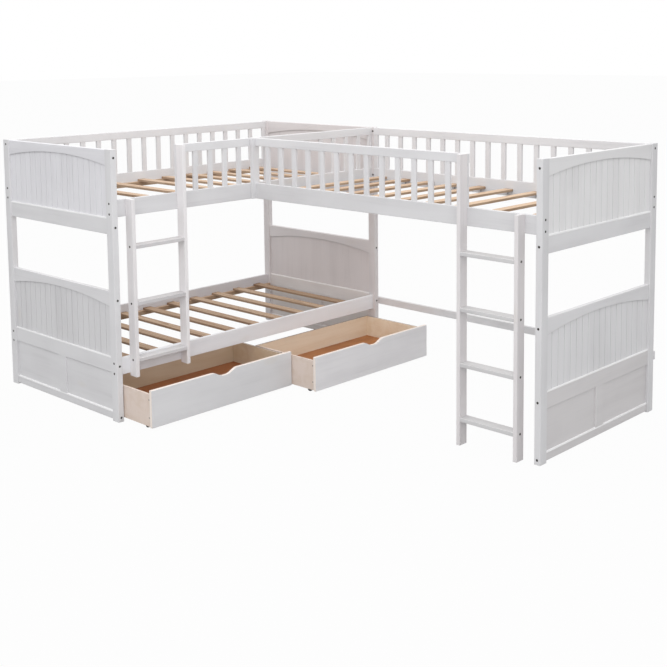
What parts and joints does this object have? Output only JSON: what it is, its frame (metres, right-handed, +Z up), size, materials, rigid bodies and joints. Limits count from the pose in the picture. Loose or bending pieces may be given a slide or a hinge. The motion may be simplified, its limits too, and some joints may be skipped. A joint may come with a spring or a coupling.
{
  "type": "bunk bed",
  "caption": "L-shaped bunk bed: a twin-over-twin bunk with a raised single bed at a right angle, grooved end panels, barred guards, ladders and roll-out drawers.",
  "frame": {"origin": "centre of the underside of the corner post's foot, at the outer corner of the L", "axes": "+X along the raised bed away from the bunk, -Y along the bunk away from the corner, +Z up"},
  "size_m": [3.018, 2.036, 1.425],
  "materials": {
    "paint": "white-washed satin paint over wood",
    "pine": "unfinished pine",
    "ply": "pale lacquered board",
    "drawer_bottom": "orange-brown hardboard",
    "dark_fastener": "dark bronze plated steel",
    "castor_plastic": "black nylon"
  },
  "bodies": {
    "frame": {"near_end_posts": "paint", "near_end_top_rail": "paint", "near_end_upper_boarding": "paint", "near_end_waist_rail": "paint", "near_end_arch_rail": "paint", "near_end_lower_boarding": "paint", "near_end_base_frame": "paint", "corner_end_posts": "paint", "corner_end_top_rail": "paint", "corner_end_upper_boarding": "paint", "corner_end_waist_rail": "paint", "corner_end_arch_rail": "paint", "corner_end_lower_boarding": "paint", "corner_end_base_frame": "paint", "loft_end_posts": "paint", "loft_end_top_rail": "paint", "loft_end_upper_boarding": "paint", "loft_end_waist_rail": "paint", "loft_end_arch_rail": "paint", "loft_end_lower_boarding": "paint", "loft_end_base_frame": "paint", "bunk_upper_front_board": "paint", "bunk_upper_back_board": "paint", "bunk_lower_front_board": "paint", "bunk_lower_back_board": "paint", "loft_front_board": "paint", "loft_back_board": "paint", "junction_post": "paint", "bunk_back_guard_rail": "paint", "bunk_back_guard_bars": "paint", "bunk_front_guard_rail": "paint", "bunk_front_guard_bars": "paint", "loft_back_guard_rail": "paint", "loft_back_guard_bars": "paint", "loft_front_guard_rail": "paint", "loft_front_guard_bars": "paint", "bunk_ladder_stiles": "paint", "bunk_ladder_treads": "paint", "loft_ladder_stiles": "paint", "loft_ladder_treads": "paint", "back_stretcher": "paint", "bunk_ledgers": "pine", "loft_ledgers": "pine", "bunk_upper_slats": "pine", "bunk_lower_slats": "pine", "loft_slats": "pine", "bolts": "dark_fastener", "slat_screws": "dark_fastener"},
    "drawer_1": {"drawer_1_front": "paint", "drawer_1_walls": "ply", "drawer_1_bottom": "drawer_bottom", "drawer_1_castor_forks": "castor_plastic"},
    "drawer_1_front_wheels": {"drawer_1_front_wheels": "castor_plastic"},
    "drawer_1_back_wheels": {"drawer_1_back_wheels": "castor_plastic"},
    "drawer_2": {"drawer_2_front": "paint", "drawer_2_walls": "ply", "drawer_2_bottom": "drawer_bottom", "drawer_2_castor_forks": "castor_plastic"},
    "drawer_2_front_wheels": {"drawer_2_front_wheels": "castor_plastic"},
    "drawer_2_back_wheels": {"drawer_2_back_wheels": "castor_plastic"}
  },
  "joints": [
    {"name": "drawer_1_roll", "type": "slide", "parent": "frame", "child": "drawer_1", "axis": [1, 0, 0], "range_m": [-0.249, 0.351]},
    {"name": "drawer_1_front_wheels_spin", "type": "hinge", "parent": "drawer_1", "child": "drawer_1_front_wheels", "pos_m": [1.204, -1.481, 0.017], "axis": [0, 1, 0], "continuous": true},
    {"name": "drawer_1_back_wheels_spin", "type": "hinge", "parent": "drawer_1", "child": "drawer_1_back_wheels", "pos_m": [0.843, -1.481, 0.017], "axis": [0, 1, 0], "continuous": true},
    {"name": "drawer_2_roll", "type": "slide", "parent": "frame", "child": "drawer_2", "axis": [1, 0, 0], "range_m": [-0.441, 0.159]},
    {"name": "drawer_2_front_wheels_spin", "type": "hinge", "parent": "drawer_2", "child": "drawer_2_front_wheels", "pos_m": [1.396, -0.505, 0.017], "axis": [0, 1, 0], "continuous": true},
    {"name": "drawer_2_back_wheels_spin", "type": "hinge", "parent": "drawer_2", "child": "drawer_2_back_wheels", "pos_m": [1.035, -0.505, 0.017], "axis": [0, 1, 0], "continuous": true}
  ],
  "couplings": [
    {"joint": "drawer_1_front_wheels_spin", "follows": "drawer_1_roll", "rad_per_m": 58.824},
    {"joint": "drawer_1_back_wheels_spin", "follows": "drawer_1_roll", "rad_per_m": 58.824},
    {"joint": "drawer_2_front_wheels_spin", "follows": "drawer_2_roll", "rad_per_m": 58.824},
    {"joint": "drawer_2_back_wheels_spin", "follows": "drawer_2_roll", "rad_per_m": 58.824}
  ]
}
